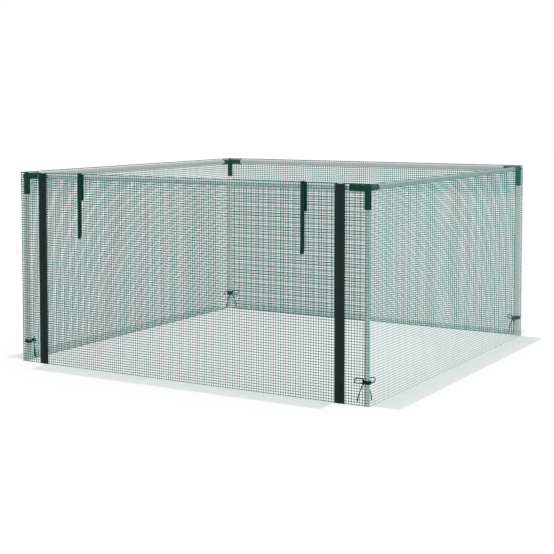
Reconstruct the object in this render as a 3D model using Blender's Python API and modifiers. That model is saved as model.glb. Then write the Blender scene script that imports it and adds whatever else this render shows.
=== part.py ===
"""A low, square, open-top fruit cage.

Four steel legs and four steel top rails push into moulded three-way corners.
A net cover hangs outside the frame: fixed walls on three sides, and on the
fourth a door panel between two zips, with a narrow net jamb beside each zip.
Net skirts lie on the ground round the foot of the cage, straps hang from the
door's top edge to tie it when it is rolled up, and cords with bows hold the
cover to the legs.

The origin is on the ground, in the middle of the cage. The door faces -Y.
All lengths are in metres.
"""

import math

import bmesh
import bpy
from mathutils import Vector

# The frame
FRAME_WIDTH = 1.200  # from leg axis to leg axis, along X
FRAME_DEPTH = 1.200  # from leg axis to leg axis, along Y
FRAME_HEIGHT = 0.600  # from the ground to the top of the rails
TUBE_DIAMETER = 0.016
TUBE_WALL = 0.001

# The moulded three-way corner
SOCKET_WALL = 0.0012
SOCKET_CLEARANCE = 0.0003  # between a tube and its socket
RAIL_SOCKET_REACH = 0.052  # from the corner's centre to the mouth
LEG_SOCKET_REACH = 0.058
SOCKET_FLOOR = 0.0115  # from the corner's centre to the bottom of a socket
LIP_HEIGHT = 0.0005  # how far the mouth's bead stands proud
LIP_LENGTH = 0.0045
MOUTH_CHAMFER = 0.0006
LEAD_IN = 0.0007  # the flare inside each mouth

# The net cover
NET_THICKNESS = 0.0016
STRAND_WIDTH = 0.0060
SEAM_WIDTH = 0.0140  # the doubled net at the corners, which lies against the leg
NET_TOP_OVERLAP = 0.0045  # how far the net stands above the rails
PIECE_GAP = 0.0003  # between pieces that lie against each other
WALL_GAPS_ALONG = 9
WALL_GAPS_UP = 6
DOOR_GAPS_ALONG = 7
JAMB_GAPS_ALONG = 1
SKIRT_WIDTH = 0.085
SKIRT_GAPS_ALONG = 9
DOOR_SKIRT_GAPS_ALONG = 7
SKIRT_GAPS_ACROSS = 1

# The zips
ZIP_FROM_LEG = 0.0765  # from a leg's axis to the zip beside it
TAPE_WIDTH = 0.0150  # one side of a zip, from the slot to its outer edge
TAPE_THICKNESS = 0.0010
TAPE_TOP_SHORT = 0.0020  # how far the tapes stop below the net's top
COIL_WIDTH = 0.0030
COIL_THICKNESS = 0.0026
COIL_ROUND = 0.0006
COIL_SLOT = 0.0014  # the slot between the two coils, where the slider's web runs
NET_TO_SLOT = 0.0080  # from the zip's centre to the edge of the net

# The slider and its pull tab
SLIDER_WIDTH = 0.0130
SLIDER_HEIGHT = 0.0180
SLIDER_PLATE = 0.0015
SLIDER_BACK_PLATE = 0.0009
SLIDER_WEB = 0.0008
SLIDER_FOOT = 0.0380  # from the ground to the slider, zip closed
SLIDER_FLARE = 0.0020  # how much each side widens towards the bottom
BAIL_WIDTH = 0.0024
BAIL_THICKNESS = 0.0010
BAIL_INNER_RADIUS = 0.0013
BAIL_SINK = 0.0005  # how far the bail's feet run into the plate
BAIL_ARC_POINTS = 8
TAB_BAR = 0.0014  # the tab's cross bar, which the bail holds
TAB_PLAY = 0.0004  # between the tab and the plate behind it
TAB_WIDTH = 0.0070
TAB_THICKNESS = 0.0014
TAB_LENGTH = 0.0400
TAB_WINDOW_WIDTH = 0.0036
TAB_FOOT_ROUND = 0.0022
TAB_GRIP_WIDTH = 0.0030
TAB_GRIP_LENGTH = 0.0140

# The straps that tie the rolled door
STRAP_FROM_LEG = (0.224, 0.193)  # from the left leg and from the right leg
STRAP_WIDTH = 0.0135
STRAP_THICKNESS = 0.0012
OUTER_STRAP_DROP = 0.200
INNER_STRAP_DROP = 0.082
INNER_STRAP_SHIFT = 0.0055  # how far to the right the inner tail hangs
STRAP_CURL_LENGTH = 0.022
STRAP_CURL_OUT = 0.004
STRAP_ARC_POINTS = 8

# The cords that tie the cover to the legs
CORD_DIAMETER = 0.003
CORD_LAP_GAP = 0.00065  # from the leg to the cord's turns, and between two turns
TIE_HEIGHT = 0.065
WRAP_TURNS = 3
WRAP_POINTS_A_TURN = 12
KNOT_RADII = (0.0042, 0.0052, 0.0046)
KNOT_RINGS = 5
KNOT_SEGMENTS = 7
BOW_REACH = 0.0300
BOW_HALF_HEIGHT = 0.0055
BOW_RISE = 0.0020
BOW_LEAN_SHARE = 0.15  # how far the bow leans into the cage, over its reach
BOW_ROOT = 0.0022
BOW_POINTS = 9
TAIL_DROP = 0.0560
TAIL_SPREAD = 0.0200
TAIL_LEAN = 0.0060
TAIL_POINTS = 3

# Roundness, as numbers of facets
TUBE_SEGMENTS = 24
CORNER_SEGMENTS = 20
HUB_RINGS = 10
CUT_OVERRUN = 0.002
WELD_DISTANCE = 0.000001

# Places worked out from the sizes above
TUBE_RADIUS = TUBE_DIAMETER / 2
CORD_RADIUS = CORD_DIAMETER / 2
HALF_WIDTH = FRAME_WIDTH / 2
HALF_DEPTH = FRAME_DEPTH / 2
RAIL_Z = FRAME_HEIGHT - TUBE_RADIUS
SOCKET_BORE = TUBE_RADIUS + SOCKET_CLEARANCE
SOCKET_RADIUS = SOCKET_BORE + SOCKET_WALL
WRAP_RADIUS = TUBE_RADIUS + CORD_LAP_GAP + CORD_RADIUS
NET_OFFSET = WRAP_RADIUS + CORD_RADIUS + PIECE_GAP + NET_THICKNESS / 2
NET_FACE = NET_OFFSET + NET_THICKNESS / 2
HUB_RADIUS = NET_OFFSET - NET_THICKNESS / 2 - PIECE_GAP
NET_TOP = FRAME_HEIGHT + NET_TOP_OVERLAP
ZIP_CENTRE_X = HALF_WIDTH - ZIP_FROM_LEG
OUTER_STRAP_X = (-HALF_WIDTH + STRAP_FROM_LEG[0], HALF_WIDTH - STRAP_FROM_LEG[1])
TAPE_TOP = NET_TOP - TAPE_TOP_SHORT
FRONT_NET_Y = -HALF_DEPTH - NET_OFFSET
FRONT_FACE_Y = -HALF_DEPTH - NET_FACE
TAPE_Y = FRONT_FACE_Y - PIECE_GAP - TAPE_THICKNESS / 2
COIL_FRONT_Y = TAPE_Y - COIL_THICKNESS / 2
COIL_BACK_Y = TAPE_Y + COIL_THICKNESS / 2
PLATE_BACK_Y = COIL_FRONT_Y - PIECE_GAP
PLATE_FRONT_Y = PLATE_BACK_Y - SLIDER_PLATE
TAB_BAR_Y = PLATE_FRONT_Y - TAB_PLAY - TAB_BAR / 2
TAB_BAR_Z = SLIDER_FOOT + SLIDER_HEIGHT / 2

# Colours as red, green and blue, then roughness and metallic value
FINISHES = {
    "tube_paint": ((0.50, 0.57, 0.55), 0.42, 0.0),
    "corner_plastic": ((0.010, 0.055, 0.040), 0.45, 0.0),
    "net_thread": ((0.013, 0.135, 0.105), 0.75, 0.0),
    "skirt_thread": ((0.600, 0.690, 0.670), 0.80, 0.0),
    "zip_tape": ((0.014, 0.030, 0.026), 0.80, 0.0),
    "zip_metal": ((0.018, 0.034, 0.028), 0.40, 0.0),
    "webbing": ((0.012, 0.034, 0.026), 0.80, 0.0),
    "tie_cord": ((0.010, 0.045, 0.030), 0.70, 0.0),
}


def clear_scene():
    """Remove what the scene holds, so that the script can run again."""
    for item in list(bpy.data.objects):
        bpy.data.objects.remove(item, do_unlink=True)


def make_collection(name):
    group = bpy.data.collections.new(name)
    bpy.context.scene.collection.children.link(group)
    return group


def make_finish(name):
    """A Principled material from the table of finishes."""
    colour, roughness, metallic = FINISHES[name]
    finish = bpy.data.materials.new(name)
    finish.use_nodes = True
    shader = finish.node_tree.nodes["Principled BSDF"]
    shader.inputs["Base Color"].default_value = (*colour, 1.0)
    shader.inputs["Roughness"].default_value = roughness
    shader.inputs["Metallic"].default_value = metallic
    finish.diffuse_color = (*colour, 1.0)
    return finish


def add_piece(name, data, finish, place=(0, 0, 0), turn=(0, 0, 0)):
    """Put a mesh or a curve into the cage's collection as one named piece."""
    piece = bpy.data.objects.new(name, data)
    if not data.materials:
        data.materials.append(finish)
    piece.location = place
    piece.rotation_euler = turn
    cage.objects.link(piece)
    return piece


def add_scratch(name, data):
    """A shape that is only cut from or joined to a piece."""
    item = bpy.data.objects.new(name, data)
    item.display_type = "WIRE"
    item.hide_render = True
    cutters.objects.link(item)
    return item


def to_mesh(item, name):
    """The evaluated shape of an object as a welded mesh in world space."""
    graph = bpy.context.evaluated_depsgraph_get()
    mesh = bpy.data.meshes.new_from_object(item.evaluated_get(graph))
    mesh.transform(item.matrix_world)
    mesh.name = name
    shape = bmesh.new()
    shape.from_mesh(mesh)
    bmesh.ops.remove_doubles(shape, verts=shape.verts, dist=WELD_DISTANCE)
    shape.to_mesh(mesh)
    shape.free()
    return mesh


def turned_mesh(name, profile, closed=False):
    """A profile of (radius, height) points, to be turned round Z."""
    mesh = bpy.data.meshes.new(name)
    points = [(radius, 0, height) for radius, height in profile]
    edges = [(i, i + 1) for i in range(len(points) - 1)]
    if closed:
        edges.append((len(points) - 1, 0))
    mesh.from_pydata(points, edges, [])
    return mesh


def add_turn(item, segments):
    """Turn an object's profile into a solid with a Screw modifier."""
    screw = item.modifiers.new("turn", "SCREW")
    screw.axis = "Z"
    screw.angle = math.tau
    screw.steps = segments
    screw.render_steps = segments
    screw.use_merge_vertices = True
    screw.merge_threshold = WELD_DISTANCE
    screw.use_normal_calculate = False


def flat_curve(name, loops, thickness):
    """A flat outline with holes, filled and given a thickness."""
    curve = bpy.data.curves.new(name, "CURVE")
    curve.dimensions = "2D"
    curve.fill_mode = "BOTH"
    curve.extrude = thickness / 2
    for loop in loops:
        spline = curve.splines.new("POLY")
        spline.points.add(len(loop) - 1)
        for point, (x, y) in zip(spline.points, loop):
            point.co = (x, y, 0, 1)
        spline.use_cyclic_u = True
    return curve


def rectangle(left, bottom, right, top):
    return [(left, bottom), (right, bottom), (right, top), (left, top)]


def cut_or_join(item, tool, operation):
    """Add an exact Boolean and return the modifier."""
    boolean = item.modifiers.new(operation.lower(), "BOOLEAN")
    boolean.operation = operation
    boolean.solver = "EXACT"
    boolean.object = tool
    return boolean


def round_edges(mesh, angle_deg=35.0):
    """Shade a round piece smooth and keep its real edges sharp."""
    mesh.shade_smooth()
    mesh.set_sharp_from_angle(angle=math.radians(angle_deg))


def tube_mesh(name, length):
    """A straight tube that stands on Z, open at both ends."""
    inner = TUBE_RADIUS - TUBE_WALL
    profile = [(TUBE_RADIUS, length), (TUBE_RADIUS, 0), (inner, 0), (inner, length)]
    return turned_mesh(name, profile, closed=True)


def build_tubes(finish):
    """Four legs from the ground up into the corners, and four rails between the corners."""
    leg_length = RAIL_Z - SOCKET_FLOOR - PIECE_GAP
    leg_mesh = tube_mesh("leg_tube", leg_length)
    for name, x, y in CORNERS:
        leg = add_piece(f"leg_{name}", leg_mesh, finish, (x, y, 0))
        add_turn(leg, TUBE_SEGMENTS)
    end = SOCKET_FLOOR + PIECE_GAP
    rails = (
        ("rail_front", FRAME_WIDTH, (-HALF_WIDTH + end, -HALF_DEPTH, RAIL_Z), (0, QUARTER, 0)),
        ("rail_back", FRAME_WIDTH, (-HALF_WIDTH + end, HALF_DEPTH, RAIL_Z), (0, QUARTER, 0)),
        ("rail_left", FRAME_DEPTH, (-HALF_WIDTH, -HALF_DEPTH + end, RAIL_Z), (-QUARTER, 0, 0)),
        ("rail_right", FRAME_DEPTH, (HALF_WIDTH, -HALF_DEPTH + end, RAIL_Z), (-QUARTER, 0, 0)),
    )
    for name, span, place, turn in rails:
        rail = add_piece(name, tube_mesh(name, span - 2 * end), finish, place, turn)
        add_turn(rail, TUBE_SEGMENTS)


def socket_profile(reach):
    """Half the section of one socket's outside: a plain sleeve with a beaded mouth."""
    lip = SOCKET_RADIUS + LIP_HEIGHT
    points = [
        (0, reach),
        (lip - MOUTH_CHAMFER, reach),
        (lip, reach - MOUTH_CHAMFER),
        (lip, reach - LIP_LENGTH),
        (SOCKET_RADIUS, reach - LIP_LENGTH - LIP_HEIGHT),
    ]
    return points + [(SOCKET_RADIUS, 0), (0, 0)]


def bore_profile(reach):
    """Half the section of what is cut out of one socket, flared at the mouth."""
    flare = SOCKET_BORE + LEAD_IN
    return [
        (0, reach + CUT_OVERRUN),
        (flare, reach + CUT_OVERRUN),
        (flare, reach),
        (SOCKET_BORE, reach - LEAD_IN),
        (SOCKET_BORE, SOCKET_FLOOR),
        (0, SOCKET_FLOOR),
    ]


def corner_mesh():
    """The three-way corner: a ball hub with sockets along +X, +Y and -Z, bored for the tubes."""
    hub = bpy.data.meshes.new("hub")
    shape = bmesh.new()
    bmesh.ops.create_uvsphere(
        shape, u_segments=CORNER_SEGMENTS, v_segments=HUB_RINGS, radius=HUB_RADIUS
    )
    shape.to_mesh(hub)
    shape.free()
    body = add_scratch("corner_hub", hub)
    arms = (
        ("x", RAIL_SOCKET_REACH, (0, QUARTER, 0)),
        ("y", RAIL_SOCKET_REACH, (-QUARTER, 0, 0)),
        ("z", LEG_SOCKET_REACH, (2 * QUARTER, 0, 0)),
    )
    tools = [body]
    for name, reach, turn in arms:
        arm = add_scratch(f"arm_{name}", turned_mesh(f"arm_{name}", socket_profile(reach)))
        arm.rotation_euler = turn
        add_turn(arm, CORNER_SEGMENTS)
        cut_or_join(body, arm, "UNION")
        tools.append(arm)
    for name, reach, turn in arms:
        bore = add_scratch(f"bore_{name}", turned_mesh(f"bore_{name}", bore_profile(reach)))
        bore.rotation_euler = turn
        add_turn(bore, CORNER_SEGMENTS)
        cut_or_join(body, bore, "DIFFERENCE")
        tools.append(bore)
    bpy.context.view_layer.update()
    mesh = to_mesh(body, "corner")
    for item in tools:
        bpy.data.objects.remove(item, do_unlink=True)
    round_edges(mesh)
    return mesh


def build_corners(finish):
    """The same moulding at each corner, a quarter turn further round each time."""
    mesh = corner_mesh()
    for quarter, (name, x, y) in enumerate(CORNERS):
        add_piece(f"corner_{name}", mesh, finish, (x, y, RAIL_Z), (0, 0, quarter * QUARTER))


def gap_edges(low, high, gaps):
    """Where the gaps between even strands start and end, between two edges of the net."""
    step = (high - low + STRAND_WIDTH) / gaps
    return [(low + i * step, low + (i + 1) * step - STRAND_WIDTH) for i in range(gaps)]


def net_curve(name, size, gaps, edges=(STRAND_WIDTH, STRAND_WIDTH)):
    """A flat net, centred on its own middle, as an outline with one hole for each gap.

    size and gaps are along and up, and edges are the widths of the net's two upright edges.
    """
    right, top = size[0] / 2, size[1] / 2
    loops = [rectangle(-right, -top, right, top)]
    for start, end in gap_edges(-right + edges[0], right - edges[1], gaps[0]):
        for foot, head in gap_edges(-top + STRAND_WIDTH, top - STRAND_WIDTH, gaps[1]):
            loops.append(rectangle(start, foot, end, head))
    return flat_curve(name, loops, NET_THICKNESS)


def build_walls(finish):
    """The cover's fixed walls, the door panel and the jambs beside the door."""
    middle = NET_TOP / 2
    gaps = (WALL_GAPS_ALONG, WALL_GAPS_UP)
    seams = (SEAM_WIDTH, SEAM_WIDTH)
    side_x = HALF_WIDTH + NET_OFFSET
    side_depth = FRAME_DEPTH + 2 * NET_FACE
    for name, x in (("net_left", -side_x), ("net_right", side_x)):
        curve = net_curve(name, (side_depth, NET_TOP), gaps, seams)
        add_piece(name, curve, finish, (x, 0, middle), ALONG_Y)
    end_x = side_x - NET_THICKNESS / 2 - PIECE_GAP
    curve = net_curve("net_back", (2 * end_x, NET_TOP), gaps, seams)
    add_piece("net_back", curve, finish, (0, HALF_DEPTH + NET_OFFSET, middle), ALONG_X)
    door_width = 2 * (ZIP_CENTRE_X - NET_TO_SLOT)
    curve = net_curve("net_door", (door_width, NET_TOP), (DOOR_GAPS_ALONG, WALL_GAPS_UP))
    add_piece("net_door", curve, finish, (0, FRONT_NET_Y, middle), ALONG_X)
    jamb_start = ZIP_CENTRE_X + NET_TO_SLOT
    jamb_x = (jamb_start + end_x) / 2
    jamb_size = (end_x - jamb_start, NET_TOP)
    jamb_gaps = (JAMB_GAPS_ALONG, WALL_GAPS_UP)
    jambs = (
        ("net_jamb_left", -jamb_x, (SEAM_WIDTH, STRAND_WIDTH)),
        ("net_jamb_right", jamb_x, (STRAND_WIDTH, SEAM_WIDTH)),
    )
    for name, x, edges in jambs:
        curve = net_curve(name, jamb_size, jamb_gaps, edges)
        add_piece(name, curve, finish, (x, FRONT_NET_Y, middle), ALONG_X)


def build_skirts(finish):
    """Flaps of net that lie on the ground outside the walls."""
    lift = NET_THICKNESS / 2
    away = NET_FACE + PIECE_GAP + SKIRT_WIDTH / 2
    places = (
        ("skirt_left", FRAME_DEPTH, (-HALF_WIDTH - away, 0, lift), QUARTER),
        ("skirt_right", FRAME_DEPTH, (HALF_WIDTH + away, 0, lift), QUARTER),
        ("skirt_back", FRAME_WIDTH, (0, HALF_DEPTH + away, lift), 0),
    )
    gaps = (SKIRT_GAPS_ALONG, SKIRT_GAPS_ACROSS)
    for name, length, place, turn in places:
        curve = net_curve(name, (length, SKIRT_WIDTH), gaps)
        add_piece(name, curve, finish, place, (0, 0, turn))
    door_skirt = 2 * (ZIP_CENTRE_X - COIL_SLOT / 2 - TAPE_WIDTH - PIECE_GAP)
    gaps = (DOOR_SKIRT_GAPS_ALONG, SKIRT_GAPS_ACROSS)
    curve = net_curve("skirt_door", (door_skirt, SKIRT_WIDTH), gaps)
    add_piece("skirt_door", curve, finish, (0, -HALF_DEPTH - away, lift))


def tape_outline(side, away):
    """The section of one side of a zip: a flat tape with the coil along its inner edge.

    side is +1 for the right zip, away is +1 for the half that lies away from the middle.
    """
    toward = side * away
    inner = COIL_SLOT / 2
    half_tape = TAPE_THICKNESS / 2
    half_coil = COIL_THICKNESS / 2
    section = [
        (inner, -half_coil + COIL_ROUND),
        (inner + COIL_ROUND, -half_coil),
        (inner + COIL_WIDTH - COIL_ROUND, -half_coil),
        (inner + COIL_WIDTH, -half_coil + COIL_ROUND),
        (inner + COIL_WIDTH, -half_tape),
        (inner + TAPE_WIDTH, -half_tape),
        (inner + TAPE_WIDTH, half_tape),
        (inner + COIL_WIDTH, half_tape),
        (inner + COIL_WIDTH, half_coil - COIL_ROUND),
        (inner + COIL_WIDTH - COIL_ROUND, half_coil),
        (inner + COIL_ROUND, half_coil),
        (inner, half_coil - COIL_ROUND),
    ]
    return [(toward * x, y) for x, y in section]


def build_zips(finish):
    """Each zip's two tapes, one on the jamb and one on the door."""
    middle = TAPE_TOP / 2
    for name, side in (("left", -1), ("right", 1)):
        for part, away in (("jamb", 1), ("door", -1)):
            title = f"zip_tape_{name}_{part}"
            curve = flat_curve(title, [tape_outline(side, away)], TAPE_TOP)
            add_piece(title, curve, finish, (side * ZIP_CENTRE_X, TAPE_Y, middle))


def slider_mesh(side):
    """A slider: a flared front plate over both coils, a web in the slot, a back plate and a bail.

    The back plate covers only the door's coil, so that the door can swing out of the jamb.
    """
    half = SLIDER_WIDTH / 2
    foot, top = -SLIDER_HEIGHT / 2, SLIDER_HEIGHT / 2
    narrow = half - SLIDER_FLARE
    front_outline = [
        (-half, foot),
        (half, foot),
        (half, foot + SLIDER_HEIGHT / 3),
        (narrow, top),
        (-narrow, top),
        (-half, foot + SLIDER_HEIGHT / 3),
    ]
    zip_x = side * ZIP_CENTRE_X
    front = add_scratch("plate", flat_curve("plate", [front_outline], SLIDER_PLATE))
    front.rotation_euler = ALONG_X
    front.location = (zip_x, PLATE_BACK_Y - SLIDER_PLATE / 2, TAB_BAR_Z)
    back_front_y = COIL_BACK_Y + PIECE_GAP
    back_y = back_front_y + SLIDER_BACK_PLATE
    web_front_y = PLATE_BACK_Y - SLIDER_PLATE / 2
    door = -side
    web = SLIDER_WEB / 2
    section = [
        (-door * web, web_front_y),
        (-door * web, back_y),
        (door * narrow, back_y),
        (door * narrow, back_front_y),
        (door * web, back_front_y),
        (door * web, web_front_y),
    ]
    web_curve = flat_curve("web", [section], SLIDER_HEIGHT - 2 * BAIL_SINK)
    web_item = add_scratch("web", web_curve)
    web_item.location = (zip_x, 0, TAB_BAR_Z)
    outer = BAIL_INNER_RADIUS + BAIL_THICKNESS
    root = PLATE_FRONT_Y + BAIL_SINK
    angles = [math.pi * i / BAIL_ARC_POINTS for i in range(BAIL_ARC_POINTS + 1)]
    arch = [(root, outer)]
    arch += [(TAB_BAR_Y - outer * math.sin(a), outer * math.cos(a)) for a in angles]
    arch += [(root, -outer), (root, -BAIL_INNER_RADIUS)]
    arch += [
        (TAB_BAR_Y - BAIL_INNER_RADIUS * math.sin(a), -BAIL_INNER_RADIUS * math.cos(a))
        for a in angles
    ]
    arch += [(root, BAIL_INNER_RADIUS)]
    bail = add_scratch("bail", flat_curve("bail", [arch], BAIL_WIDTH))
    bail.rotation_euler = ALONG_Y
    bail.location = (zip_x, 0, TAB_BAR_Z)
    return fuse(f"slider_{side}", [front, web_item, bail])


def fuse(name, items):
    """Join closed shapes into one mesh with exact unions, in world space."""
    bpy.context.view_layer.update()
    solids = []
    for item in items:
        mesh = to_mesh(item, item.name)
        bpy.data.objects.remove(item, do_unlink=True)
        solids.append(add_scratch(f"{name}_{len(solids)}", mesh))
    body = solids[0]
    for tool in solids[1:]:
        cut_or_join(body, tool, "UNION")
    bpy.context.view_layer.update()
    mesh = to_mesh(body, name)
    for item in solids:
        bpy.data.objects.remove(item, do_unlink=True)
    return mesh


def tab_loops():
    """The pull tab's outline, with the window that the bail passes through and a grip slot."""
    half, bar = TAB_WIDTH / 2, TAB_BAR / 2
    foot = bar - TAB_LENGTH
    outline = [
        (-half, bar),
        (-half, foot + TAB_FOOT_ROUND),
        (-half + TAB_FOOT_ROUND, foot),
        (half - TAB_FOOT_ROUND, foot),
        (half, foot + TAB_FOOT_ROUND),
        (half, bar),
    ]
    window = TAB_WINDOW_WIDTH / 2
    window_foot = -(BAIL_INNER_RADIUS + BAIL_THICKNESS + 2 * PIECE_GAP)
    grip = TAB_GRIP_WIDTH / 2
    grip_foot = foot + TAB_FOOT_ROUND + TAB_GRIP_WIDTH / 2
    return [
        outline,
        rectangle(-window, window_foot, window, -bar),
        rectangle(-grip, grip_foot, grip, grip_foot + TAB_GRIP_LENGTH),
    ]


def build_sliders(finish):
    """The two sliders at the foot of their zips, each with its pull tab hanging in the bail."""
    for name, side in (("left", -1), ("right", 1)):
        add_piece(f"slider_{name}", slider_mesh(side), finish)
        curve = flat_curve(f"pull_tab_{name}", tab_loops(), TAB_THICKNESS)
        place = (side * ZIP_CENTRE_X, TAB_BAR_Y, TAB_BAR_Z)
        add_piece(f"pull_tab_{name}", curve, finish, place, ALONG_X)


def ribbon_outline(path, thickness):
    """The outline of a strip of even thickness along a path of (y, z) points."""
    points = [Vector(p) for p in path]
    left, right = [], []
    for i, point in enumerate(points):
        before = points[max(i - 1, 0)]
        after = points[min(i + 1, len(points) - 1)]
        along = (after - before).normalized()
        across = Vector((-along.y, along.x)) * thickness / 2
        left.append(tuple(point + across))
        right.append(tuple(point - across))
    return left + right[::-1]


def build_straps(finish):
    """Two webbing straps on the door's top edge, each with an outer and an inner tail."""
    fold = NET_THICKNESS / 2 + PIECE_GAP + STRAP_THICKNESS / 2
    outer_y = FRONT_NET_Y - fold
    tip = NET_TOP - OUTER_STRAP_DROP
    outer = [
        (outer_y - STRAP_CURL_OUT, tip),
        (outer_y - STRAP_CURL_OUT / 3, tip + STRAP_CURL_LENGTH / 2),
        (outer_y, tip + STRAP_CURL_LENGTH),
    ]
    for i in range(STRAP_ARC_POINTS + 1):
        turn = QUARTER * i / STRAP_ARC_POINTS
        outer.append((FRONT_NET_Y - fold * math.cos(turn), NET_TOP + fold * math.sin(turn)))
    inner_y = FRONT_NET_Y + fold
    inner_top = NET_TOP - fold - STRAP_THICKNESS / 2 - PIECE_GAP
    inner = [(inner_y, inner_top), (inner_y, NET_TOP - INNER_STRAP_DROP)]
    for name, x in zip(("left", "right"), OUTER_STRAP_X):
        for part, path, shift in (("outer", outer, 0), ("inner", inner, INNER_STRAP_SHIFT)):
            title = f"strap_{name}_{part}"
            curve = flat_curve(title, [ribbon_outline(path, STRAP_THICKNESS)], STRAP_WIDTH)
            add_piece(title, curve, finish, (x + shift, 0, 0), ALONG_Y)


def cord_curve(name, points):
    """A six-sided cord along a list of points."""
    curve = bpy.data.curves.new(name, "CURVE")
    curve.dimensions = "3D"
    curve.bevel_depth = CORD_RADIUS
    curve.bevel_resolution = 1
    curve.use_fill_caps = True
    spline = curve.splines.new("POLY")
    spline.points.add(len(points) - 1)
    for point, place in zip(spline.points, points):
        point.co = (*place, 1)
    return curve


def wrap_points():
    """The turns round the leg, a helix whose two ends run into the knot."""
    rise = CORD_DIAMETER + CORD_LAP_GAP
    count = WRAP_TURNS * WRAP_POINTS_A_TURN
    points = []
    for i in range(1, count):
        turn = math.tau * i / WRAP_POINTS_A_TURN
        height = rise * (WRAP_TURNS / 2 - i / WRAP_POINTS_A_TURN)
        points.append((WRAP_RADIUS * math.cos(turn), WRAP_RADIUS * math.sin(turn), height))
    knot_x = WRAP_RADIUS + KNOT_RADII[0]
    first = (knot_x, 0, points[0][2])
    last = (knot_x, 0, points[-1][2])
    return [first] + points + [last]


def bow_points(side):
    """One loop of the bow: out from the knot above, round its end and back below."""
    knot_x = WRAP_RADIUS + KNOT_RADII[0]
    points = []
    for i in range(BOW_POINTS + 1):
        share = i / BOW_POINTS
        out = math.sin(math.pi * share)
        swell = math.sin(math.tau * share)
        points.append(
            (
                knot_x + BOW_LEAN_SHARE * BOW_REACH * out,
                side * BOW_REACH * out,
                BOW_ROOT * math.cos(math.pi * share) + BOW_HALF_HEIGHT * swell + BOW_RISE * out,
            )
        )
    return points


def tail_points(side):
    """One tail, which leaves the knot sideways and falls to just above the ground."""
    knot_x = WRAP_RADIUS + KNOT_RADII[0]
    points = []
    for i in range(TAIL_POINTS + 1):
        share = i / TAIL_POINTS
        points.append(
            (
                knot_x + TAIL_LEAN * share,
                side * (CORD_RADIUS + (TAIL_SPREAD - CORD_RADIUS) * math.sin(QUARTER * share)),
                -TAIL_DROP * share,
            )
        )
    return points


def least_gap(points, skip):
    """The least clear distance between stretches of a cord that are skip points apart."""
    nearest = min(
        (Vector(a) - Vector(b)).length
        for i, a in enumerate(points)
        for b in points[i + skip:]
    )
    return nearest - CORD_DIAMETER


def tie_mesh():
    """A cord wrapped round a leg and tied in a bow, which faces +X from the leg's axis."""
    wrap = wrap_points()
    gap = least_gap(wrap[1:-1], WRAP_POINTS_A_TURN // 2)
    print(f"the tie's turns clear each other by {gap:.5f} m")
    knot = bpy.data.meshes.new("knot")
    shape = bmesh.new()
    bmesh.ops.create_uvsphere(
        shape, u_segments=KNOT_SEGMENTS, v_segments=KNOT_RINGS, radius=1
    )
    for vertex in shape.verts:
        vertex.co = [c * r for c, r in zip(vertex.co, KNOT_RADII)]
    shape.to_mesh(knot)
    shape.free()
    ball = add_scratch("knot", knot)
    ball.location = (WRAP_RADIUS + KNOT_RADII[0], 0, 0)
    items = [ball, add_scratch("wrap", cord_curve("wrap", wrap))]
    for side in (-1, 1):
        items.append(add_scratch("bow", cord_curve("bow", bow_points(side))))
        items.append(add_scratch("tail", cord_curve("tail", tail_points(side))))
    return fuse("tie", items)


def build_ties(finish):
    """One tied cord round the foot of each leg, its bow towards the middle of the cage."""
    mesh = tie_mesh()
    for quarter, (name, x, y) in enumerate(CORNERS):
        turn = (quarter + 1 / 2) * QUARTER
        add_piece(f"tie_{name}", mesh, finish, (x, y, TIE_HEIGHT), (0, 0, turn))


QUARTER = math.pi / 2
ALONG_X = (QUARTER, 0, 0)
ALONG_Y = (QUARTER, 0, QUARTER)
CORNERS = (
    ("front_left", -HALF_WIDTH, -HALF_DEPTH),
    ("front_right", HALF_WIDTH, -HALF_DEPTH),
    ("back_right", HALF_WIDTH, HALF_DEPTH),
    ("back_left", -HALF_WIDTH, HALF_DEPTH),
)

clear_scene()
cage = make_collection("fruit_cage")
cutters = make_collection("cutters")
finishes = {name: make_finish(name) for name in FINISHES}
build_tubes(finishes["tube_paint"])
build_corners(finishes["corner_plastic"])
build_walls(finishes["net_thread"])
build_skirts(finishes["skirt_thread"])
build_zips(finishes["zip_tape"])
build_sliders(finishes["zip_metal"])
build_straps(finishes["webbing"])
build_ties(finishes["tie_cord"])
print(f"{len(cage.objects)} pieces")
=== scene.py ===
# %% [markdown]
# # A low fruit cage, dressed for the camera
#
# The cage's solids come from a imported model. This script gives them their looks: painted tubes, moulded
# corners, a knitted net, zips, straps and tied cords. The row frame is in metres, the ground is z = 0, the
# middle of the cage is the origin and the door faces -Y.

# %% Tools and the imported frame
import math

import bmesh
import bpy
import numpy as np
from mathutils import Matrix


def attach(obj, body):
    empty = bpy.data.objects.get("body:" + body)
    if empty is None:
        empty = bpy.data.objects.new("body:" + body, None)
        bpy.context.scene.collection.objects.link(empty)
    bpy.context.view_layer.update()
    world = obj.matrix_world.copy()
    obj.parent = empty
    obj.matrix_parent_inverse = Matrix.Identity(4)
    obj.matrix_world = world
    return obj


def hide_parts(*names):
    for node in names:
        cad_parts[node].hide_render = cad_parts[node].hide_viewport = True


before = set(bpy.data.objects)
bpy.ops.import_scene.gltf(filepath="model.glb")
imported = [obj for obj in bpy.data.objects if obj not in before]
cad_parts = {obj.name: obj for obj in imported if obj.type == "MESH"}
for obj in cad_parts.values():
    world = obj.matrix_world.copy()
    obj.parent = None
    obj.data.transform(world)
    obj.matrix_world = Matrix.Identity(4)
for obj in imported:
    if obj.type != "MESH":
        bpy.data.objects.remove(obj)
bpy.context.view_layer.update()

# %% [markdown]
# ## The camera
#
# The picture was taken from the cage's front right, a little above it. A camera was fitted to the eight
# corners of the frame: it stands 4.2 m away and looks down by 3.5 degrees. The object sits low in the
# picture, so the lens is shifted, which keeps the legs upright as the picture shows them.

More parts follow.
